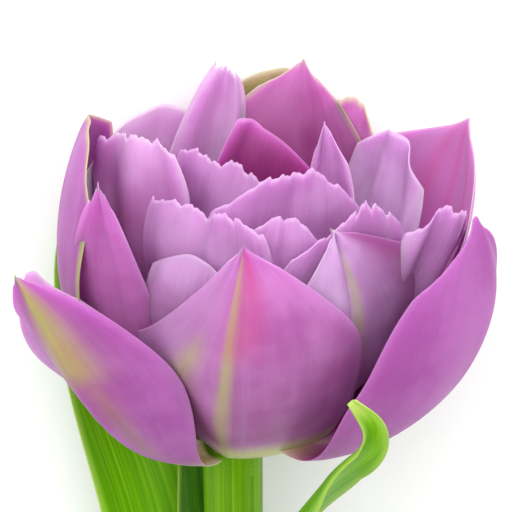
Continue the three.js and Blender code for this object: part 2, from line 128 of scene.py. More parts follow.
# ---------------------------------------------------------------- colours, sRGB of 0 to 255
# The third tone is painted shading. In most finishes it is a darker tone, laid where shade falls in
# a petal's hollows and folds. In shade_lightened and shade_lightened_less it is lighter: painted
# light over an inner face that lies in shadow.
PETAL_TONES = {  # body, light, painted shading
    "violet": ((154, 78, 150), (170, 100, 168), (128, 30, 104)),
    # violet_lightened is violet made lighter: painted light for petals the lamps light too little,
    # such as the front petal's outer face, which the key light only grazes.
    "violet_lightened": ((170, 94, 162), (190, 122, 184), (132, 36, 106)),
    "lilac": ((182, 126, 180), (204, 160, 204), (136, 46, 112)),
    "cool": ((180, 132, 184), (202, 164, 208), (136, 46, 112)),
    "mauve": ((168, 116, 168), (194, 148, 196), (132, 44, 108)),
    # shade_lightened and shade_lightened_less have a third tone lighter than their body: painted
    # light over the whole inner face of the back petals, which lie in shadow.
    "shade_lightened": ((176, 112, 172), (196, 140, 194), (228, 196, 228)),
    "shade_lightened_less": ((176, 112, 172), (196, 140, 194), (192, 130, 182)),
    "pink": ((172, 96, 156), (192, 126, 180), (132, 30, 104)),
    "khaki": ((142, 152, 78), (158, 166, 98), (130, 136, 76)),
}
FOOT_TONE = (206, 204, 150)
# The shade mark is painted shade, laid where a fold or a neighbour shades the petal.
MARK_TONES = {"pale": (176, 134, 178), "stain": (170, 176, 82), "blush": (190, 62, 124),
              "shade": (120, 66, 82)}
GREEN_TONES = {  # body, light, shade, wax
    "leaf_green": ((114, 174, 8), (140, 196, 34), (88, 152, 2), (150, 192, 80)),
    # leaf_green_shaded is leaf_green made darker: painted shade for the back leaf, which lies in
    # the shadow under the bloom.
    "leaf_green_shaded": ((62, 122, 6), (90, 150, 24), (44, 98, 2), (96, 150, 60)),
    "stem_green": ((112, 164, 6), (146, 190, 30), (84, 140, 2), (150, 188, 80)),
    "pistil_green": ((176, 186, 96), (206, 210, 140), (140, 156, 60), (210, 206, 160)),
    "anther_dark": ((96, 60, 84), (150, 110, 110), (60, 34, 56), (170, 140, 90)),
}
LEAF_RIM_TONE = (178, 204, 96)
CUT_TONE = (214, 222, 160)
FLOOR_TONES = ((246, 246, 246), (250, 250, 250))
WHITE = (1.0, 1.0, 1.0, 1.0)

MARK_FADE = (0.12, 0.15)  # how softly a mark begins and ends along the petal
FOOT_SHADE_FADE = (0.4, 0.95)  # painted shade towards the foot fades over this stretch of the petal
OLIVE_RIM = (0.3, 1.6)  # an olive rim fades over this distance from the edge
SEED_STEP = 9.0  # sets the streaks of one blade apart from another's

# ---------------------------------------------------------------- petals and leaves
# az turns round the bloom: 0 faces the viewer, + to the right. rib is the midrib as a cubic curve
# of (radius, height, sideways) points. petal_reach, petal_width, petal_spine, petal_hollow and
# petal_relief read the rest of the shape. The colour comes from finish, deep (painted
# shading on the inner face, full up to the first reach and gone from the second on), foot_shade
# (painted shade towards the foot), olive (a green rim) and marks, which mark_mask explains.
PETAL = dict(base=0.12, wide=0.6, grow=1, lower_left=None, tip=0.1, full=(2.2, 2.2), cup=(45, 60),
             fold=0, crease=0, drop=0.1, slope=0, rag=0, lobes=0, lobe_at=0, uneven=0, hug=(0, 0),
             roll=(0, 0), ruffle=0.5, pleats=(0, 0), deep=(0.25, 0.8), foot_shade=0, olive=0, marks=(),
             finish="violet")
INNER = dict(PETAL, base=0.15, grow=1.2, wide=0.7, full=(3, 3), ruffle=0.7, foot_shade=0.5,
             finish="mauve")

PETALS = {
    "front": dict(PETAL, az=-10.5, rib=[(5, -1), (14, 7), (35, 24), (30, 55)], width=46, base=0.7,
                  wide=0.52, grow=0.9, tip=0, full=(1.1, 2.8), cup=(60, 90), fold=12, drop=0.05,
                  hug=(0.3, 0), seed=2, lower_left=(0.1, 0.36, 2.2),
                  marks=(("pale", -0.7, -0.7, 0.45, 0.1, 1, 0.8),
                         ("pale", 0.17, 0.14, 0.02, 0.15, 0.95, 0.5),
                         ("stain", -0.02, 0.01, 0.06, 0.05, 0.95, 0.75),
                         ("shade", 0.1, 0.07, 0.02, 0.05, 0.8, 0.2),
                         ("stain", -0.45, -0.43, 0.13, 0.52, 0.6, 0.6),
                         ("shade", -0.13, -0.33, 0.13, 0.22, 0.46, 0.75),
                         ("blush", 0.12, 0.2, 0.16, 0.72, 0.97, 0.6)),
                  finish="violet_lightened"),
    "left": dict(PETAL, az=-54, rib=[(5, -2), (26.5, -3.5), (38, 22), (51.5, 44.5)], width=29,
                 base=0.25, wide=0.5, tip=0, full=(1.2, 1.76), cup=(40, 40), fold=28, drop=0.04,
                 uneven=0.02, roll=(12, -44), seed=3,
                 marks=(("stain", 0.1, 0.1, 0.3, 0.66, 1.05, 1.0),
                        ("stain", 0.3, 0.2, 0.12, 0.3, 0.6, 0.3),
                        ("shade", 0.28, 0.24, 0.08, 0.3, 0.45, 0.35),
                        ("blush", 0.2, 0.16, 0.2, 0.5, 0.7, 0.2))),
    "right": dict(PETAL, az=66, rib=[(5, 3), (27, 3), (53.5, 30), (36.2, 58)], width=52, wide=0.52,
                  grow=1.3, tip=0.05, full=(5, 1.3), cup=(170, 110), fold=5, drop=0.12, rag=0.003,
                  uneven=0.14, roll=(-16, 7), seed=4, lower_left=(0.05, 0.5, 1.4),
                  marks=(("stain", 0, 0, 0.06, 0.05, 0.45, 0.5),
                         ("pale", 0.05, 0.02, 0.2, 0.05, 0.5, 0.8))),
    # Painted light: the whole inner face takes the lighter third tone of shade_lightened_less.
    "backRight": dict(PETAL, az=108, rib=[(5, 0), (18, 2), (40, 30), (34.3, 64.3)], width=44,
                      grow=1.3, full=(2.2, 3.4), cup=(110, 60), fold=5, drop=0.15, seed=5,
                      deep=(1.1, 1.2),
                      marks=(("blush", -0.25, -0.3, 0.07, 0.5, 1, 0.35),
                             ("blush", 0.1, 0.12, 0.05, 0.5, 0.95, 0.3),
                             ("blush", 0.45, 0.4, 0.1, 0.6, 1, 0.3),
                             ("pale", 0.75, 0.7, 0.15, 0.5, 1, 0.6),
                             ("pale", -0.05, -0.05, 0.07, 0.5, 1, 0.4)),
                      olive=0.2, finish="shade_lightened_less"),
    "back": dict(PETAL, az=178, rib=[(5, 0), (20, 2), (40, 28), (33, 59.5)], width=36, grow=1.3,
                 tip=0.5, cup=(120, 70), drop=0.12, seed=6, deep=(0, 0.1), finish="khaki"),
    "wingLeft": dict(PETAL, az=-72, rib=[(5, 1), (20, 4), (43, 16), (42.3, 35.8)], width=17,
                     base=0.25, tip=0.4, full=(2.4, 2.4), cup=(60, 60), fold=3, drop=0.2, slope=0.1,
                     uneven=0.6, roll=(0, -60), seed=25, deep=(1.1, 1.2),
                     marks=(("pale", -0.3, -0.3, 0.6, 0.2, 1.1, 0.6),), finish="lilac"),
    # Painted light: the whole inner face takes the lighter third tone of shade_lightened.
    "backLeft": dict(PETAL, az=-138, rib=[(5, 0), (18, 2), (38, 28), (32, 53)], width=44, grow=1.3,
                     tip=0.6, full=(3, 3), cup=(110, 60), drop=0.15, seed=7, deep=(1.1, 1.2),
                     olive=0.15, finish="shade_lightened"),
    "spearRight": dict(PETAL, az=41, rib=[(5, 1), (11, 8, 3), (34, 26, 4), (24, 57, -9)], width=42,
                       wide=0.5, tip=0, full=(2.4, 1.4), cup=(40, 60), fold=12, crease=0.8,
                       drop=0.05, uneven=0.35, roll=(7, 12), seed=8,
                       marks=(("stain", 0.05, 0.05, 0.06, 0.1, 0.85, 0.5),
                              ("stain", 0, 0, 0.4, 0, 0.3, 0.4),
                              ("shade", -0.05, -0.06, 0.03, 0.3, 0.9, 0.3),
                              ("deep", 0.75, 0.9, 0.4, 0, 0.95, 0.9)),
                       finish="cool"),
    "spearLeft": dict(PETAL, az=-62, rib=[(5, 1), (23, 8), (28, 30), (34, 55.6)], width=15.8,
                      base=0.1, grow=1.6, tip=0.03, full=(1.8, 1.6), cup=(50, 60), drop=0.08,
                      rag=0.012, uneven=-0.12, roll=(-43, -40), seed=9, foot_shade=0.3, finish="violet_lightened"),
    "flankLeft": dict(PETAL, az=-92, rib=[(5, 1), (28, 1), (43, 31), (32.6, 58)], width=44,
                      wide=0.65, tip=0.5, full=(3, 3), cup=(60, 80), drop=0.12, uneven=-0.3,
                      roll=(-8, -8), seed=10,
                      marks=(("pale", 0.25, 0.25, 0.15, 0.2, 0.9, 0.3),
                             ("blush", -0.05, -0.05, 0.1, 0.2, 0.75, 0.4)),
                      olive=0.8, foot_shade=0.3),
    "shoulderLeft": dict(PETAL, az=-96, rib=[(5, 1), (12, 6), (28.5, 30), (26, 56.5)], width=29,
                         wide=0.75, tip=0.75, full=(2.8, 2.8), cup=(50, 90), drop=0.06, slope=0.08,
                         rag=0.009, roll=(-30, -50), seed=11, pleats=(2.5, 0.6), deep=(0.5, 0.7),
                         marks=(("deep", 0.1, 0.1, 0.35, 0.4, 0.76, 0.5),), foot_shade=0.5,
                         finish="lilac"),
    "crownLeft": dict(PETAL, az=-160, rib=[(5, 1), (12, 8), (29, 30), (27.1, 61)], width=18,
                      wide=0.66, tip=0.28, full=(5, 1.2), cup=(40, 40), drop=0.0, slope=0.02,
                      rag=0.008, uneven=0.45, seed=12, pleats=(1.8, 0.9), foot_shade=0.35,
                      finish="lilac"),
    "crown": dict(PETAL, az=172, rib=[(5, 1), (13, 7), (31, 30), (27, 64.5)], width=46, wide=0.5,
                  tip=0.03, full=(1.7, 1.6), rag=0.003, seed=13, deep=(0.62, 0.98),
                  marks=(("deep", -0.3, -0.25, 0.3, 0.5, 0.76, 0.9),), olive=0.5, finish="pink"),
    "crownRight": dict(PETAL, az=152, rib=[(5, 1), (12, 8), (31, 30), (28.5, 59)], width=24,
                       tip=0.5, full=(2.6, 2.6), drop=0.16, rag=0.004, seed=14, pleats=(2, 0.6),
                       olive=0.8, finish="pink"),
    "shoulderRight": dict(PETAL, az=123, rib=[(5, 1), (11, 8), (26, 30), (24.8, 58.8)], width=24,
                          wide=0.65, tip=0.55, full=(2.4, 2.4), cup=(10, 30), uneven=-0.15, seed=15,
                          pleats=(2.4, 0.8), foot_shade=0.35, finish="cool"),
    "heartFront": dict(INNER, az=18, rib=[(5, 1), (7, 10), (14, 35), (10, 60.5)], width=31, tip=0.6,
                       full=(2.4, 2.4), cup=(50, 60), crease=1.2, drop=0.16, rag=0.009, lobes=0.03,
                       lobe_at=-0.1, seed=16),
    "twinLeft": dict(INNER, az=-36, rib=[(5, 1), (9, 9), (23, 30), (20, 54)], width=27, wide=0.82,
                     grow=1.6, tip=0.8, cup=(60, 40), crease=1.5, drop=0.04, slope=0.03, rag=0.009,
                     lobes=0.03, seed=17),
    "twinFront": dict(INNER, az=5, rib=[(5, 1), (9, 9), (24, 30), (18.5, 56)], width=22, wide=0.65,
                      tip=0.5, full=(2.4, 2.4), cup=(50, 70), crease=1, drop=0.14, rag=0.004,
                      lobes=0.02, seed=18),
    "heartLeft": dict(INNER, az=-84, rib=[(5, 1), (8, 10), (10, 36), (8, 55.8)], width=24, tip=0.75,
                      cup=(50, 50), drop=0.06, slope=-0.02, rag=0.01, lobes=0.03, lobe_at=-0.3,
                      roll=(0, -64), seed=19),
    "innerRight": dict(INNER, az=40, rib=[(5, 1), (9, 9), (25, 30), (22, 58.5)], width=30,
                       wide=0.65, tip=0.4, full=(2.4, 2.4), cup=(60, 60), drop=0.12, slope=0.02,
                       rag=0.012, seed=20),
    "heartBack": dict(INNER, az=-163, rib=[(5, 1), (8.5, 10), (11, 35), (9.5, 58.3)], width=23,
                      tip=0.7, cup=(60, 100), drop=0.06, slope=0.1, uneven=-0.15, seed=21,
                      deep=(0.85, 1.1), finish="pink"),
    "heartSpike": dict(INNER, az=125, rib=[(5, 1), (8.5, 10), (12, 35), (9, 62.6)], width=18.2,
                       tip=0.05, full=(1, 1.4), cup=(60, 100), uneven=-0.71, roll=(-20, -30),
                       seed=22),
    "innerLeft": dict(INNER, az=-32, rib=[(5, 1), (10, 8), (28, 24), (23, 46.5)], width=20, tip=0.7,
                      cup=(60, 50), seed=23),
    "ragRight": dict(INNER, az=74, rib=[(5, 1), (12, 6), (29, 28), (32, 56)], width=20, tip=0.8,
                     full=(2.6, 2.6), cup=(60, 60), slope=-0.03, rag=0.01, roll=(20, 30), seed=24,
                     pleats=(2, 0.9)),
}

# path is the midrib as a smooth curve, face the way the channel opens, in rows of (share, x, y, z),
# cup the channel's turn in degrees at CUP_STATIONS. leaf_half_width and leaf_face read the rest.
LEAVES = {
    "leaf_left": dict(path=[(-0.9, 2.7, -118), (-1.5, 3.4, -104), (-9, 7.5, -68), (-16.5, 10, -22),
                            (-27, 24.8, 6), (-29.6, 30.8, 25), (-22, 28.4, 44)],
                      width=21, base=0.93, wide=0.45, tip=0.03, cup=(190, 60, 40), wave=1.2, seed=1,
                      face=[(0, 0.53, -0.85, 0), (1, 0.4, -0.9, 0)], finish="leaf_green"),
    "leaf_right": dict(path=[(5.3, -6.4, -90), (5.3, -6.5, -74), (6, -14, -42), (7.2, -24, -10),
                             (16.8, -35, 14), (22.6, -40.5, 24), (22.8, -42, 28.5),
                             (19.5, -42.5, 33.5)],
                       width=26, base=0.93, wide=0.35, tip=0.06, cup=(150, 110, 120), wave=0.5,
                       seed=2, face=[(0, -0.6, 0.8, 0), (0.15, -0.6, 0.8, 0), (0.4, 0.4, 0.85, 0),
                                     (0.65, 0.9, -0.3, 0), (1, 0.3, -0.9, 0.3)],
                       finish="leaf_green"),
    "leaf_back": dict(path=[(-3.8, 3.8, -62), (-4.2, 4.3, -48), (-7.5, 8, -22), (-9, 13, 0)],
                      width=19.5, base=1, wide=0.02, tip=0.06, cup=(180, 100, 80), wave=0.6, seed=3,
                      face=[(0, 0.7, -0.7, 0), (1, 0.5, -0.9, 0)], finish="leaf_green_shaded"),
}

# ---------------------------------------------------------------- frames and curves
def mix(a, b, share):
    return a + (b - a) * share


def smooth(low, high, value):
    """0 below low, 1 above high, and 3x^2 - 2x^3 between them."""
    x = np.clip((value - low) / (high - low), 0, 1)
    return x * x * (3 - 2 * x)


def unit(v):
    return v / np.maximum(np.linalg.norm(v, axis=-1, keepdims=True), 1e-9)


def tip_over(vectors):
    """Flower axes to the model's: Z turns towards +Y and a little up, and -Y turns upwards."""
    x, y, z = np.moveaxis(np.asarray(vectors, float), -1, 0)
    back = y * math.sin(PITCH) + z * math.cos(PITCH)
    up = -y * math.cos(PITCH) + z * math.sin(PITCH)
    return np.stack([x, back, up], -1)


def lay_down(points):
    """Flower frame, mm, to the model's, m: tipped over and moved by FOOT_SHIFT and REST_HEIGHT,
    with nothing below the floor."""
    x, back, up = np.moveaxis(tip_over(points), -1, 0)
    up = np.maximum(up + REST_HEIGHT, 0)
    return np.stack([x + FOOT_SHIFT[0], back + FOOT_SHIFT[1], up], -1) * MM


def lean(points):
    """Turns the bloom about Y by BLOOM_LEAN, so it leans to the right of its stem."""
    x, y, z = np.moveaxis(points, -1, 0)
    c, s = math.cos(BLOOM_LEAN), math.sin(BLOOM_LEAN)
    return np.stack([x * c + z * s, y, -x * s + z * c], -1)


def bezier(points, u):
    """Cubic curve through four control points, and its derivative."""
    a, b, c, d = (np.array(tuple(p) + (0,) * (3 - len(p)), float) for p in points)
    u = u[:, None]
    v = 1 - u
    place = v ** 3 * a + 3 * v ** 2 * u * b + 3 * v * u ** 2 * c + u ** 3 * d
    slope = 3 * v ** 2 * (b - a) + 6 * v * u * (c - b) + 3 * u ** 2 * (d - c)
    return place, slope


def running_length(points):
    steps = np.linalg.norm(np.diff(points, axis=0), axis=1)
    return np.concatenate([[0], np.cumsum(steps)])


def sample(shares, values, at):
    """Each column of values, read at the shares in at."""
    columns = [np.interp(at.ravel(), shares, column).reshape(at.shape) for column in values.T]
    return np.stack(columns, -1)


def smooth_path(path, count):
    """Centripetal Catmull-Rom curve through the points of path, in count points of equal spacing,
    with its tangents and its length."""
    p = np.array(path, float)
    p = np.concatenate([[2 * p[0] - p[1]], p, [2 * p[-1] - p[-2]]])
    knots = np.concatenate([[0], np.cumsum(np.linalg.norm(np.diff(p, axis=0), axis=1) ** 0.5)])
    u = np.concatenate([np.linspace(knots[i], knots[i + 1], PATH_SAMPLES, endpoint=False)
                        for i in range(1, len(p) - 2)] + [[knots[-2]]])
    i = np.clip(np.searchsorted(knots, u, side="right") - 1, 1, len(p) - 3)
    k = lambda n: knots[i + n][:, None]
    u = u[:, None]
    blend = lambda a, b, ka, kb: (a * (kb - u) + b * (u - ka)) / (kb - ka)
    first = blend(p[i - 1], p[i], k(-1), k(0))
    second = blend(p[i], p[i + 1], k(0), k(1))
    third = blend(p[i + 1], p[i + 2], k(1), k(2))
    curve = blend(blend(first, second, k(-1), k(1)), blend(second, third, k(0), k(2)), k(0), k(1))
    length = running_length(curve)
    curve = sample(length / length[-1], curve, np.linspace(0, 1, count))
    return curve, unit(np.gradient(curve, axis=0)), length[-1]


# ---------------------------------------------------------------- closed meshes
def grid_faces(rows, columns):
    """Quads of a grid whose points run row by row."""
    i, j = np.meshgrid(np.arange(rows - 1), np.arange(columns - 1), indexing="ij")
    a = (i * columns + j).ravel()
    return np.stack([a, a + 1, a + columns + 1, a + columns], -1)


def grid_rim(rows, columns):
    """The grid's outline, once round."""
    n = np.arange(rows * columns).reshape(rows, columns)
    return np.concatenate([n[0, :-1], n[:-1, -1], n[-1, :0:-1], n[:0:-1, 0]])


def blade(points, thickness):
    """A closed blade round a grid: half the thickness to each side along the normal, which is the
    cross product of the steps across and along, and a band that joins both outlines."""
    rows, columns = points.shape[:2]
    normal = unit(np.cross(np.gradient(points, axis=1), np.gradient(points, axis=0)))
    half = (thickness / 2)[..., None]
    outer = (points + normal * half).reshape(-1, 3)
    inner = (points - normal * half).reshape(-1, 3)
    quads = grid_faces(rows, columns)
    rim = grid_rim(rows, columns)
    after = np.roll(rim, -1)
    count = rows * columns
    band = np.stack([rim, rim + count, after + count, after], -1)
    return np.concatenate([outer, inner]), np.concatenate([quads, quads[:, ::-1] + count, band])


def tube(centres, across, radii, sides):
    """A closed tube: rings of radii[i, j] about centres[i] in the planes of across[i], with a
    centre point at each end."""
    angle = np.linspace(0, 2 * np.pi, sides, endpoint=False)
    first, second = across
    ring = (first[:, None] * np.cos(angle)[None, :, None]
            + second[:, None] * np.sin(angle)[None, :, None])
    points = centres[:, None] + ring * radii[..., None]
    rows = len(centres)
    i, j = np.meshgrid(np.arange(rows - 1), np.arange(sides), indexing="ij")
    a, b = (i * sides + j).ravel(), (i * sides + (j + 1) % sides).ravel()
    quads = np.stack([a, b, b + sides, a + sides], -1)
    foot, top, last = rows * sides, rows * sides + 1, (rows - 1) * sides
    caps = [(foot, (n + 1) % sides, n) for n in range(sides)]
    caps += [(top, last + n, last + (n + 1) % sides) for n in range(sides)]
    ends = np.stack([centres[0], centres[-1]])
    return np.concatenate([points.reshape(-1, 3), ends]), quads.tolist() + caps


def turned(profile, ripple, sides=TURNED_SIDES):
    """A profile of (radius, height) pairs turned about Z: its radius swells by ripple(angle,
    height)."""
    profile = np.array(profile, float)
    dense = np.linspace(0, len(profile) - 1, PROFILE_STEPS * len(profile))
    radius, height = (np.interp(dense, np.arange(len(profile)), c) for c in profile.T)
    angle = np.linspace(0, 2 * np.pi, sides, endpoint=False)[None, :]
    radii = radius[:, None] * (1 + ripple(angle, height[:, None]))
    centres = np.stack([0 * height, 0 * height, height], -1)
    first = np.tile([1.0, 0, 0], (len(height), 1))
    second = np.tile([0, 1.0, 0], (len(height), 1))
    return tube(centres, (first, second), np.maximum(radii, SMALLEST_RADIUS), sides)


def build(name, points, faces, material, node, attributes):
    """A named smooth piece from points and faces, with its attributes, one value a point each."""
    mesh = bpy.data.meshes.new(name)
    mesh.from_pydata(lay_down(points).tolist(), [], [list(map(int, f)) for f in faces])
    for key, values in attributes.items():
        values = np.asarray(values, np.float32)
        kind, field = ("FLOAT_VECTOR", "vector") if values.ndim == 2 else ("FLOAT", "value")
        mesh.attributes.new(key, kind, "POINT").data.foreach_set(field, values.ravel())
    mesh.shade_smooth()
    mesh.update()
    piece = bpy.data.objects.new(name, mesh)
    bpy.context.scene.collection.objects.link(piece)
    mesh.materials.append(material)
    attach(piece, "root")
    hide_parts(node)


# ---------------------------------------------------------------- blades
def blade_grid(rows, columns):
    """Shares up the blade, as a column, and t from -1 to 1 across it, as a row."""
    return np.linspace(0, 1, rows)[:, None], np.linspace(-1, 1, columns + 1)[None, :]


def edge_distance(share, t, half_width, length):
    """How far each point lies from the nearest side or from the tip."""
    return np.minimum((1 - np.abs(t)) * half_width, (1 - share) * length)


def both_faces(values, shape):
    """One value a point of a blade: the outer face's, then the inner face's."""
    return np.tile(np.broadcast_to(values, shape).ravel(), 2)


def blade_attributes(shape, across, height, seed, **masks):
    """The masks, and fibre: coordinates along the blade, which its streaks follow."""
    fibre = [both_faces(values, shape) for values in (across, height, seed * SEED_STEP)]
    masks = {key: both_faces(values, shape) for key, values in masks.items()}
    return dict(masks, fibre=np.stack(fibre, -1))


def petal_reach(petal, t):
    """How far up the midrib the top edge stands at t: 1 - drop t^2 + slope t, ragged by three
    sines of t and cleft by a bell at lobe_at."""
    seed = petal["seed"]
    ragged = sum(size * np.sin(turns * t + shift * seed) for size, turns, shift in RAG_WAVES)
    cleft = petal["lobes"] * np.exp(-((t - petal["lobe_at"]) / CLEFT_WIDTH) ** 2)
    return 1 - petal["drop"] * t * t + petal["slope"] * t + petal["rag"] * ragged - cleft


def petal_width(petal, reach, t):
    """Half width: a sine from the base to the widest place, then a power curve down to the tip.
    lower_left holds the base, widest place and growth of the left half where they differ."""
    lower_right = petal["base"], petal["wide"], petal["grow"]
    halves = zip(petal["lower_left"] or lower_right, lower_right)
    base, wide, grow = (np.where(t < 0, left, right) for left, right in halves)
    rise = np.minimum(reach / wide, 1)
    fall = np.maximum((reach - wide) / (1 - wide), 0)
    power = np.where(t < 0, petal["full"][0], petal["full"][1])
    lower = base + (1 - base) * np.sin(np.pi / 2 * rise) ** grow
    upper = petal["tip"] + (1 - petal["tip"]) * (1 - fall ** power)
    share = np.maximum(np.where(reach < wide, lower, upper), 0)
    return share * petal["width"] / 2 * (1 + petal["uneven"] * np.sign(t))


def petal_spine(petal, reach):
    """The midrib's point, the way across the blade and its normal at each reach, both rolled about
    the midrib, and the midrib's length."""
    az = math.radians(petal["az"])
    out = np.array([math.sin(az), -math.cos(az), 0])
    beside = np.array([math.cos(az), math.sin(az), 0])
    up = np.array([0, 0, 1.0])
    place = lambda v: v[:, :1] * out + v[:, 1:2] * up + v[:, 2:3] * beside
    steps = np.linspace(0, RIB_OVERRUN, RIB_SAMPLES)
    rib, slope = bezier(petal["rib"], steps)
    length = running_length(rib)
    whole = np.interp(1, steps, length)
    plane = unit(slope[:, :2])
    normal = plane[:, 1:2] * out - plane[:, :1] * up
    across = unit(np.cross(normal, place(unit(slope))))
    across = across * np.sign((across * beside).sum(-1, keepdims=True))
    shares = length / whole
    middle, normal, across = (sample(shares, v, reach) for v in (place(rib), normal, across))
    roll = np.radians(mix(*petal["roll"], reach))[..., None]
    across, normal = (across * np.cos(roll) + normal * np.sin(roll),
                      normal * np.cos(roll) - across * np.sin(roll))
    return middle, across, normal, whole


def petal_hollow(petal, reach, t, offset, turn):
    """How deep the blade lies under its midrib: the cup's arc, the fold and the crease."""
    arc = (1 - np.cos(turn * offset)) / turn
    fold = math.tan(math.radians(petal["fold"])) * (np.sqrt(offset ** 2 + 1) - 1)
    crease = petal["crease"] * reach * np.exp(-(t / CREASE_WIDTH) ** 2)
    return arc + fold + crease


def petal_relief(petal, reach, t):
    """A ruffle that grows towards the sides, a wave that grows towards the top, and pleats."""
    seed = petal["seed"]
    turns, shift = SIDE_RUFFLE
    ruffle = petal["ruffle"] * t * t * reach * np.sin(turns * reach + shift * np.sign(t) + seed)
    height, across, along = TOP_RUFFLE
    wave = height * reach ** 2 * np.sin(across * t + along * reach + seed)
    count, rise = petal["pleats"]
    pleats = rise * smooth(*PLEAT_RISE, reach) * np.cos(np.pi * count * t + seed)
    return ruffle + wave + pleats


def petal_face(petal, share, t):
    """Middle surface of a petal. Each point goes up the midrib by share times the reach at t, then
    out along an arc whose turn is the cup, tighter where the petal hugs. Also each point's reach,
    half width and height along the midrib."""
    reach = np.minimum(share * petal_reach(petal, t), REACH_LIMIT)
    half = petal_width(petal, reach, t)
    middle, across, normal, length = petal_spine(petal, reach)
    offset = t * half
    hug = 1 + petal["hug"][0] * np.maximum(-t, 0) + petal["hug"][1] * np.maximum(t, 0)
    turn = np.radians(mix(*petal["cup"], reach)) / petal["width"] * hug
    points = middle + across * (np.sin(turn * offset) / turn)[..., None]
    rise = petal_relief(petal, reach, t) - petal_hollow(petal, reach, t, offset, turn)
    return points + normal * rise[..., None], reach, half, length * reach


def mark_mask(marks, kind, reach, t):
    """Soft spots of one kind of colour; the shade kind is painted shade and the deep kind
    adds painted shading. A mark is (kind, t at its foot, t at its top, spread in t, low reach, high
    reach, strength), and the strongest mark counts."""
    begin, end = MARK_FADE
    mask = np.zeros(reach.shape)
    for own, foot, top, spread, low, high, strength in marks:
        if own == kind:
            bell = np.exp(-((t - mix(foot, top, (reach - low) / (high - low))) / spread) ** 2)
            span = smooth(low - begin, low, reach) * (1 - smooth(high, high + end, reach))
            mask = np.maximum(mask, strength * bell * span)
    return mask


def petal(name, shape, material):
    """One petal, with its colour masks as attributes."""
    share, t = blade_grid(PETAL_ROWS, PETAL_COLUMNS)
    points, reach, half, height = petal_face(shape, share, t)
    margin = edge_distance(share, t, half, height.max())
    thickness = mix(PETAL_EDGE, PETAL_THICKNESS, smooth(0, PETAL_EDGE_BAND, margin))
    points, faces = blade(points, thickness)
    # Painted shade: foot_shade lays the third tone on both faces towards the foot, deep in the
    # bloom.
    foot_shade = shape["foot_shade"] * (1 - smooth(*FOOT_SHADE_FADE, reach))
    deep = np.maximum(mark_mask(shape["marks"], "deep", reach, t), foot_shade)
    masks = {kind: mark_mask(shape["marks"], kind, reach, t) for kind in MARK_TONES}
    attributes = blade_attributes(
        reach.shape, t * shape["width"] / 2, height, shape["seed"], along=reach, margin=margin,
        deep=deep, olive=shape["olive"] * (1 - smooth(*OLIVE_RIM, margin)), **masks)
    # The inner face adds painted shading up its cup: full below the first reach of shape["deep"]
    # and gone above the second.
    inner_deep = np.maximum(1 - smooth(*shape["deep"], reach), deep)
    attributes["deep"][reach.size:] = inner_deep.ravel()
    build("petal_" + name, lean(points), faces, material, "bloom", attributes)


def leaf_half_width(leaf, share):
    rise = np.minimum(share / leaf["wide"], 1)
    fall = np.maximum((share - leaf["wide"]) / (1 - leaf["wide"]), 0)
    lower = leaf["base"] + (1 - leaf["base"]) * np.sin(np.pi / 2 * rise)
    upper = leaf["tip"] + (1 - leaf["tip"]) * (1 - fall ** LEAF_TAPER)
    return leaf["width"] / 2 * np.where(share < leaf["wide"], lower, upper)


def leaf_face(leaf, share, t):
    """Middle surface of a leaf: at each share of the path a circular arc of the channel's turn,
    which clasps the stem at the foot, opens and waves towards its sides; low ribs run along it.
    Also the half width and the leaf's length."""
    centre, along, length = smooth_path(leaf["path"], LEAF_ROWS)
    face = np.array(leaf["face"], float)
    opening = sample(face[:, 0], face[:, 1:], share[:, 0])
    opening = unit(opening - along * (opening * along).sum(-1, keepdims=True))
    across = unit(np.cross(opening, along))
    half = leaf_half_width(leaf, share)
    cup = np.radians(np.interp(share, CUP_STATIONS, leaf["cup"]))
    radius = half / (cup / 2)
    angle = t * cup / 2
    turns, shift = LEAF_WAVE
    wave = leaf["wave"] * t * t * share * np.sin(turns * share + shift * np.sign(t))
    ribs = LEAF_RIB_HEIGHT * np.cos(2 * np.pi * LEAF_RIBS * t) * smooth(0, LEAF_RIB_START, share)
    rise = radius * (1 - np.cos(angle)) + wave + ribs
    points = (centre[:, None] + across[:, None] * (radius * np.sin(angle))[..., None]
              + opening[:, None] * rise[..., None])
    return points, half, length


def leaf(name, shape, material):
    share, t = blade_grid(LEAF_ROWS, LEAF_COLUMNS)
    points, half, length = leaf_face(shape, share, t)
    margin = edge_distance(share, t, half, length)
    points, faces = blade(points, mix(LEAF_EDGE, LEAF_THICKNESS, smooth(0, LEAF_EDGE_BAND, margin)))
    attributes = blade_attributes(margin.shape, t * half, share * length, shape["seed"],
                                  along=share, margin=margin)
    build(name, points, faces, material, name, attributes)


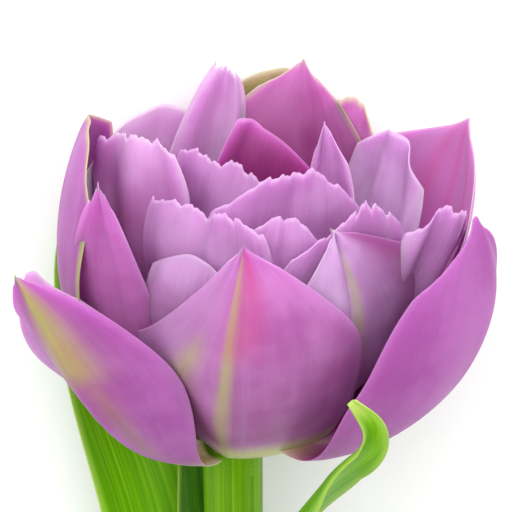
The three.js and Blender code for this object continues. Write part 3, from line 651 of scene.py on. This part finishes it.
# ---------------------------------------------------------------- round pieces
def stem(material):
    """A tube on a cubic curve that narrows to the cut end, with faint ridges."""
    path, _ = bezier(STEM_PATH, np.linspace(0, 1, STEM_SAMPLES))
    length = running_length(path)
    share = np.linspace(0, 1, STEM_ROWS)
    centres = sample(length / length[-1], path, share)
    ahead = unit(np.gradient(centres, axis=0))
    first = unit(np.cross(ahead, [0, 1.0, 0]))
    second = np.cross(ahead, first)
    angle = np.linspace(0, 2 * np.pi, STEM_SIDES, endpoint=False)[None, :]
    radius = mix(STEM_TOP_RADIUS, STEM_END_RADIUS, share)[:, None]
    ridges = sum(size * np.sin(count * angle + twist * share[:, None])
                 for size, count, twist in STEM_RIDGES)
    radii = radius * (1 + ridges) * (1 - CUT_BEVEL * smooth(CUT_BEVEL_FROM, 1, share[:, None]))
    points, faces = tube(centres, (first, second), radii, STEM_SIDES)
    points[-1] = points[-1] - ahead[-1] * CUT_DOME
    ring = np.repeat(share, STEM_SIDES)
    round_stem = np.tile(angle.ravel() * STEM_TOP_RADIUS, STEM_ROWS)
    fibre = np.stack([round_stem, ring * length[-1], 0 * ring], -1)
    fibre = np.concatenate([fibre, [[0, 0, 0], [0, length[-1], 0]]])
    cut = np.concatenate([smooth(CUT_FACE_FROM, 1, ring), [0, 1]])
    build("stem_round", points, faces, material, "stem", dict(fibre=fibre, cut=cut))


def receptacle(material):
    size, lobes = RECEPTACLE_LOBES
    points, faces = turned(RECEPTACLE_PROFILE, lambda angle, z: size * np.sin(lobes * angle))
    build("receptacle", points, faces, material, "bloom", dict(fibre=points))


def pistil(material):
    """A three-cornered ovary whose stigma spreads into three lobes."""
    profile = [(radius * PISTIL_RADIUS, PISTIL_FOOT + height * PISTIL_HEIGHT)
               for radius, height in PISTIL_PROFILE]
    low, high = PISTIL_FOOT + STIGMA_FROM * PISTIL_HEIGHT, PISTIL_FOOT + PISTIL_HEIGHT
    swell = lambda z: mix(*PISTIL_SWELL, smooth(low, high, z))
    points, faces = turned(profile, lambda angle, z: swell(z) * np.cos(PISTIL_LOBES * angle))
    build("pistil_lobed", points, faces, material, "pistil", dict(fibre=points))


def stamens(material):
    """Six threads in a ring, each with a long anther of two ribs."""
    profile = [(radius, PISTIL_FOOT + height * STAMEN_HEIGHT) for radius, height in STAMEN_PROFILE]
    size, ribs = ANTHER_RIBS
    body, quads = turned(profile, lambda angle, z: size * np.cos(ribs * angle), STAMEN_SIDES)
    clouds, faces = [], []
    for n in range(STAMENS):
        spot = 2 * math.pi * (n + 0.5) / STAMENS
        clouds.append(body + [STAMEN_CIRCLE * math.cos(spot), STAMEN_CIRCLE * math.sin(spot), 0])
        faces += [[n * len(body) + k for k in face] for face in quads]
    points = np.concatenate(clouds)
    build("stamens_fine", points, faces, material, "stamens", dict(fibre=points))


# ---------------------------------------------------------------- shader nodes
MIX_SHARE, MIX_FIRST, MIX_SECOND, MIX_COLOUR = 0, 6, 7, 2  # sockets of a colour Mix node


def tone(colour):
    """An sRGB colour of 0 to 255 as linear light."""
    c = np.array(colour) / 255
    c = np.where(c <= 0.04045, c / 12.92, ((c + 0.055) / 1.055) ** 2.4)
    return (*c.tolist(), 1.0)


def add(tree, kind, inputs=None, **settings):
    """A node with its settings, and each input either linked from a socket or set to a value."""
    node = tree.nodes.new(kind)
    for key, value in settings.items():
        setattr(node, key, value)
    for key, value in (inputs or {}).items():
        if isinstance(value, bpy.types.NodeSocket):
            tree.links.new(value, node.inputs[key])
        else:
            node.inputs[key].default_value = value
    return node


def calc(tree, operation, *values):
    return add(tree, "ShaderNodeMath", dict(enumerate(values)), operation=operation).outputs[0]


def scaled(tree, value, factor):
    return calc(tree, "MULTIPLY", value, factor)


def ramp(tree, value, low, high, start=0.0, end=1.0):
    """Start where the value is low, end where it is high, and a smooth step between them."""
    settings = {"Value": value, "From Min": low, "From Max": high, "To Min": start, "To Max": end}
    return add(tree, "ShaderNodeMapRange", settings, interpolation_type="SMOOTHSTEP").outputs[0]


def blend_tones(tree, share, first, second):
    inputs = {MIX_SHARE: share, MIX_FIRST: first, MIX_SECOND: second}
    return add(tree, "ShaderNodeMix", inputs, data_type="RGBA").outputs[MIX_COLOUR]


def read(tree, name, output="Fac"):
    return add(tree, "ShaderNodeAttribute", attribute_name=name).outputs[output]


def noise(tree, vector, scale, detail, roughness=0.5):
    settings = {"Vector": vector, "Scale": scale, "Detail": detail, "Roughness": roughness}
    return add(tree, "ShaderNodeTexNoise", settings).outputs["Fac"]


def streak_noise(tree, across, along, detail=2.0, roughness=0.5):
    """Noise in streaks along the blade: its scales are per millimetre across and along."""
    settings = {0: read(tree, "fibre", "Vector"), 1: (across, along, 1.0)}
    stretched = add(tree, "ShaderNodeVectorMath", settings, operation="MULTIPLY").outputs[0]
    return noise(tree, stretched, 1.0, detail, roughness)


def cloud_noise(tree, scale, detail):
    return noise(tree, add(tree, "ShaderNodeTexCoord").outputs["Object"], scale, detail)


def paint_group(name, tones):
    """A node group with a colour input a tone, and colour, roughness and height for outputs."""
    group = bpy.data.node_groups.new(name, "ShaderNodeTree")
    for key in tones:
        group.interface.new_socket(key, in_out="INPUT", socket_type="NodeSocketColor")
    for key, kind in (("Color", "Color"), ("Roughness", "Float"), ("Height", "Float")):
        group.interface.new_socket(key, in_out="OUTPUT", socket_type="NodeSocket" + kind)
    given = group.nodes.new("NodeGroupInput").outputs
    return group, given, group.nodes.new("NodeGroupOutput").inputs


# ---------------------------------------------------------------- finishes
def petal_paint():
    """Petal colour: streaked and clouded between body and light, a painted rim highlight at the
    margin, painted shading where its mask says, pale green at the foot, then the four kinds of
    marks (shade among them is painted shade) and the olive rim."""
    group, given, out = paint_group("petal_paint", ["Body", "Light", "Painted_Shading", "Foot", *MARK_TONES])
    fine = streak_noise(group, across=2.6, along=0.07, detail=3.0, roughness=0.6)
    broad = streak_noise(group, across=0.55, along=0.03)
    streaks = calc(group, "ADD", scaled(group, fine, 0.55), scaled(group, broad, 0.45))
    clouds = cloud_noise(group, scale=70.0, detail=3.0)
    cloudy = calc(group, "ADD", scaled(group, streaks, 0.35), clouds)
    # Painted rim highlight: lighter towards the light tone within about 1.8 mm of the margin.
    edge = scaled(group, ramp(group, read(group, "margin"), 0.1, 1.8, 1.0, 0.0), 0.7)
    foot = ramp(group, read(group, "along"), 0.04, 0.2, 1.0, 0.0)
    # The deep layer lays the third tone. It is painted shade, or painted light in the
    # shade_lightened finishes.
    layers = [(ramp(group, cloudy, 0.5, 0.85), "Light"), (edge, "Light"),
              (scaled(group, read(group, "deep"), 0.85), "Painted_Shading"), (foot, "Foot")]
    patchy = ramp(group, streaks, 0.3, 0.65, 0.6, 1.0)
    layers += [(calc(group, "MULTIPLY", read(group, kind), patchy), kind) for kind in MARK_TONES]
    layers.append((read(group, "olive"), "stain"))
    colour = given["Body"]
    for share, key in layers:
        colour = blend_tones(group, share, colour, given[key])
    group.links.new(colour, out["Color"])
    group.links.new(ramp(group, streaks, 0.3, 0.7, 0.42, 0.6), out["Roughness"])
    group.links.new(streaks, out["Height"])
    return group


def green_paint():
    """Leaf and stem colour: broad shade, fine lengthwise veins and clouds of waxy bloom."""
    group, given, out = paint_group("green_paint", ["Body", "Light", "Shade", "Wax"])
    veins = streak_noise(group, across=2.2, along=0.015, roughness=0.6)
    broad = streak_noise(group, across=0.5, along=0.012)
    clouds = cloud_noise(group, scale=45.0, detail=4.0)
    colour = blend_tones(group, ramp(group, broad, 0.35, 0.7), given["Shade"], given["Body"])
    colour = blend_tones(group, ramp(group, veins, 0.45, 0.75, 0.0, 0.5), colour, given["Light"])
    colour = blend_tones(group, ramp(group, clouds, 0.5, 0.8, 0.0, 0.2), colour, given["Wax"])
    group.links.new(colour, out["Color"])
    group.links.new(ramp(group, clouds, 0.3, 0.7, 0.34, 0.5), out["Roughness"])
    group.links.new(veins, out["Height"])
    return group


PETAL_SHEEN = {"Subsurface Weight": 0.75, "Subsurface Radius": (1.0, 0.45, 0.9),
               "Subsurface Scale": 0.002, "Specular IOR Level": 0.2}
PETAL_BUMP = {"Strength": 0.35, "Distance": 0.0004}
GREEN_SHEEN = {"Subsurface Weight": 0.12, "Subsurface Radius": (0.5, 1.0, 0.2),
               "Subsurface Scale": 0.002, "Specular IOR Level": 0.12}
GREEN_BUMP = {"Strength": 0.2, "Distance": 0.0003}


def finish(name, group, tones, sheen, bump, edge=None):
    """A Principled material fed by a paint group: its colour, roughness and a bump of its height.
    edge(tree) gives a share and a colour to lay over the paint."""
    material = bpy.data.materials.new(name)
    material.use_nodes = True
    tree = material.node_tree
    shader = tree.nodes["Principled BSDF"]
    inputs = {key: tone(value) for key, value in tones.items()}
    paint = add(tree, "ShaderNodeGroup", inputs, node_tree=group)
    colour = paint.outputs["Color"]
    if edge is not None:
        share, second = edge(tree)
        colour = blend_tones(tree, share, colour, second)
    tree.links.new(colour, shader.inputs["Base Color"])
    tree.links.new(paint.outputs["Roughness"], shader.inputs["Roughness"])
    relief = add(tree, "ShaderNodeBump", {"Height": paint.outputs["Height"], **bump}).outputs[0]
    tree.links.new(relief, shader.inputs["Normal"])
    for key, value in sheen.items():
        shader.inputs[key].default_value = value
    return material


def leaf_rim(tree):
    rim = ramp(tree, read(tree, "margin"), 0.0, 1.6, 0.6, 0.0)
    tip = ramp(tree, read(tree, "along"), 0.955, 0.995)
    return calc(tree, "MAXIMUM", rim, tip), tone(LEAF_RIM_TONE)


def cut_face(tree):
    return read(tree, "cut"), tone(CUT_TONE)


def petal_finishes():
    paint = petal_paint()
    common = {"Foot": FOOT_TONE, **MARK_TONES}
    finishes = {}
    for name, (body, light, deep) in PETAL_TONES.items():
        tones = dict(common, Body=body, Light=light, Painted_Shading=deep)
        finishes[name] = finish("petal_" + name, paint, tones, PETAL_SHEEN, PETAL_BUMP)
    return finishes


def green_finishes():
    paint = green_paint()
    edges = {"leaf_green": leaf_rim, "leaf_green_shaded": leaf_rim, "stem_green": cut_face}
    finishes = {}
    for name, (body, light, shade, wax) in GREEN_TONES.items():
        tones = dict(Body=body, Light=light, Shade=shade, Wax=wax)
        finishes[name] = finish(name, paint, tones, GREEN_SHEEN, GREEN_BUMP, edges.get(name))
    return finishes


# ---------------------------------------------------------------- room
def floor():
    bpy.ops.mesh.primitive_plane_add(size=FLOOR_SIZE, location=(0, 0, 0))
    plane = bpy.context.object
    plane.name = "floor"
    material = bpy.data.materials.new("floor")
    material.use_nodes = True
    tree = material.node_tree
    shader = tree.nodes["Principled BSDF"]
    clouds = cloud_noise(tree, scale=3.0, detail=2.0)
    colour = blend_tones(tree, clouds, *map(tone, FLOOR_TONES))
    tree.links.new(colour, shader.inputs["Base Color"])
    shader.inputs["Roughness"].default_value = FLOOR_ROUGHNESS
    plane.data.materials.append(material)


def area_light(name, towards, distance, size, power):
    """A square light in a direction of the flower's own frame, aimed at the bloom."""
    ahead = tip_over(unit(np.array(towards, float)))
    data = bpy.data.lights.new(name, "AREA")
    data.size = size
    data.energy = power
    light = bpy.data.objects.new(name, data)
    bpy.context.scene.collection.objects.link(light)
    light.location = lay_down(LOOK_AT) + ahead * distance
    light.rotation_euler = Vector((-ahead).tolist()).to_track_quat("-Z", "Y").to_euler()


def studio():
    scene = bpy.context.scene
    scene.world = bpy.data.worlds.new("studio")
    scene.world.use_nodes = True
    background = scene.world.node_tree.nodes["Background"]
    background.inputs["Color"].default_value = WHITE
    background.inputs["Strength"].default_value = SKY_STRENGTH
    scene.view_settings.view_transform = "Standard"
    area_light("key", **KEY_LIGHT)
    area_light("fill", **FILL_LIGHT)


def camera():
    """Looks down at the bloom, CAMERA_RISE over the flower's own horizontal."""
    data = bpy.data.cameras.new("camera")
    data.sensor_width = SENSOR
    data.lens = SENSOR * CAMERA_DISTANCE / (PHOTO_PIXEL * PHOTO_WIDTH)
    data.clip_start = NEAREST
    eye = bpy.data.objects.new("camera", data)
    bpy.context.scene.collection.objects.link(eye)
    tilt = CAMERA_RISE - PITCH
    away = np.array([0, math.sin(tilt), math.cos(tilt)])
    eye.location = lay_down(LOOK_AT) + away * CAMERA_DISTANCE * MM
    eye.rotation_euler = (-tilt, 0, 0)
    bpy.context.scene.camera = eye


# ---------------------------------------------------------------- the flower
def flower():
    finishes = {**petal_finishes(), **green_finishes()}
    for name, shape in PETALS.items():
        petal(name, shape, finishes[shape["finish"]])
    for name, shape in LEAVES.items():
        leaf(name, shape, finishes[shape["finish"]])
    stem(finishes["stem_green"])
    receptacle(finishes["stem_green"])
    pistil(finishes["pistil_green"])
    stamens(finishes["anther_dark"])


flower()
floor()
studio()
camera()
